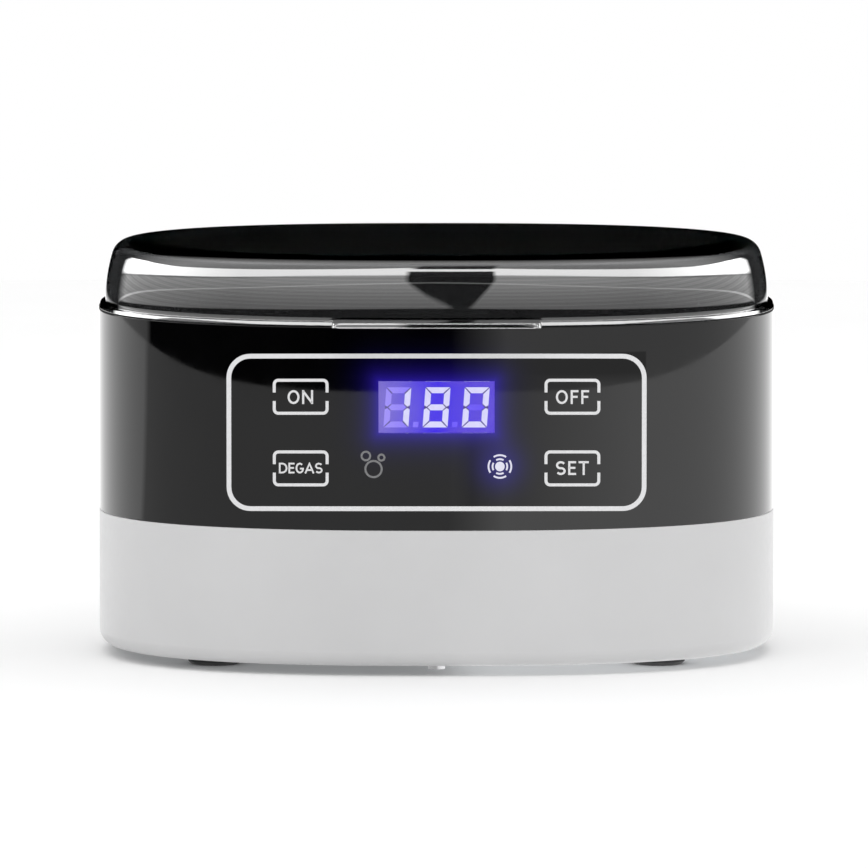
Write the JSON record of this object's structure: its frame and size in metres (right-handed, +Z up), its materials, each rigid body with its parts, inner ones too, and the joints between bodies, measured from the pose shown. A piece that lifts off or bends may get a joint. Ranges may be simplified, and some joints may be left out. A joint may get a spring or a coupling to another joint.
{
  "type": "ultrasonic cleaner",
  "caption": "Table-top ultrasonic cleaner: oval housing with touch panel and display, steel tank, lift-out basket and hinged clear lid.",
  "frame": {"origin": "middle of the footprint, on the surface the rubber feet stand on", "axes": "+X to the right of the control panel, the panel faces -Y, the hinge is at +Y, +Z up"},
  "size_m": [0.215, 0.189, 0.131],
  "materials": {
    "white_shell": "fine satin moulded plastic",
    "black_gloss": "high gloss moulded plastic",
    "black_plastic": "satin moulded plastic",
    "clear_lid": "clear smoked polycarbonate",
    "display_lens": "tinted clear acrylic",
    "display_body": "lit display module face",
    "display_digit": "lit display segments",
    "panel_print": "white screen print",
    "dim_print": "grey screen print",
    "lit_icon": "lit icon",
    "light_guide": "clear acrylic",
    "tank_steel": "brushed stainless sheet",
    "bright_steel": "zinc plated steel",
    "plate_steel": "galvanised sheet steel",
    "aluminium": "turned aluminium",
    "ceramic": "silvered piezo ceramic",
    "brass": "thin brass sheet",
    "rubber": "moulded rubber",
    "circuit_board": "green solder mask",
    "chip_black": "moulded epoxy",
    "connector_white": "white nylon",
    "copper_winding": "enamelled copper wire",
    "transformer_core": "ferrite and yellow tape",
    "capacitor_sleeve": "printed sleeve",
    "film_capacitor": "epoxy dip",
    "fuse_glass": "glass tube",
    "lead_red": "silicone insulation",
    "lead_brown": "insulation",
    "cable_grey": "flat cable"
  },
  "bodies": {
    "housing": {"base_shell": "white_shell", "collar": "black_gloss", "deck": "black_gloss", "bottom_plate": "plate_steel", "bottom_screws": "bright_steel", "rubber_feet": "rubber", "collar_screws": "bright_steel", "tank": "tank_steel", "tank_gasket": "rubber", "tank_clips": "plate_steel", "clip_screws": "bright_steel", "transducer_horn": "aluminium", "piezo_rings": "ceramic", "electrode_plates": "brass", "back_mass": "plate_steel", "transducer_bolt": "bright_steel", "transducer_leads": "lead_red", "driver_board": "circuit_board", "board_standoffs": "connector_white", "board_screws": "bright_steel", "heatsink": "aluminium", "power_transistors": "chip_black", "drive_transformer": "transformer_core", "resonance_inductor": "copper_winding", "supply_capacitor": "capacitor_sleeve", "film_capacitors": "film_capacitor", "mains_fuse": "fuse_glass", "fuse_clips": "bright_steel", "board_connectors": "connector_white", "power_inlet": "black_plastic", "inlet_pins": "brass", "mains_leads": "lead_brown", "control_board": "circuit_board", "control_board_screws": "bright_steel", "touch_chip": "chip_black", "buzzer": "chip_black", "ribbon_cable": "cable_grey", "led_display": "display_body", "display_window": "display_lens", "touch_springs": "brass", "indicator_lights": "lit_icon", "light_guides": "light_guide", "hinge_ears": "black_gloss", "ear_screws": "bright_steel", "hinge_pin": "bright_steel"},
    "lid": {"lid": "clear_lid", "hinge_block": "black_plastic", "hinge_screws": "bright_steel"},
    "basket": {"basket": "black_plastic", "basket_grip": "black_plastic", "grip_screw": "bright_steel"}
  },
  "joints": [
    {"name": "lid_hinge", "type": "hinge", "parent": "housing", "child": "lid", "pos_m": [0, 0.09, 0.1115], "axis": [-1, 0, 0], "range_deg": [0, 100]},
    {"name": "basket_lift", "type": "slide", "parent": "housing", "child": "basket", "axis": [0, 0, 1], "range_m": [0, 0.006]}
  ]
}
